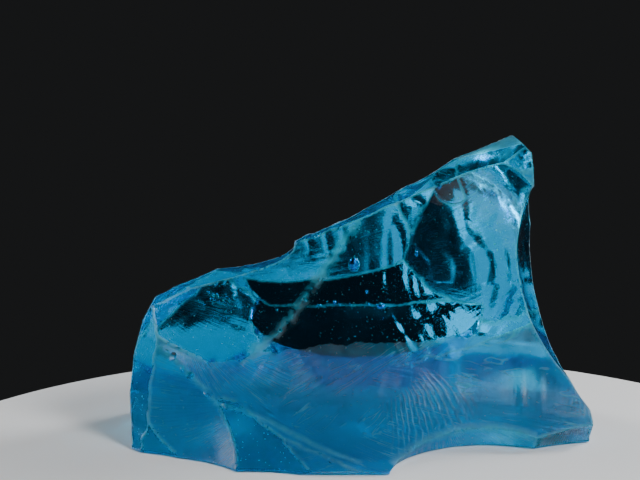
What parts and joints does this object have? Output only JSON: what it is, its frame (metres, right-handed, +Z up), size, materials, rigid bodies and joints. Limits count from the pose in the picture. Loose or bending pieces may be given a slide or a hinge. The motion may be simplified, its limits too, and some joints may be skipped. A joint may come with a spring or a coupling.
{
  "type": "blue quartz crystal",
  "caption": "Hand-sized chunk of clear blue quartz with shell-shaped broken faces, a hollow front, a low foot and a tall corner.",
  "frame": {"origin": "middle of the bounding box at the level of the flat face it rests on", "axes": "+Z up, +X along the chunk's length towards its tall corner, -Y towards the hollow front"},
  "size_m": [0.1104, 0.056, 0.0709],
  "materials": {
    "blue_quartz": "gloss"
  },
  "bodies": {
    "root": {"quartz_chunk": "blue_quartz"}
  },
  "joints": []
}
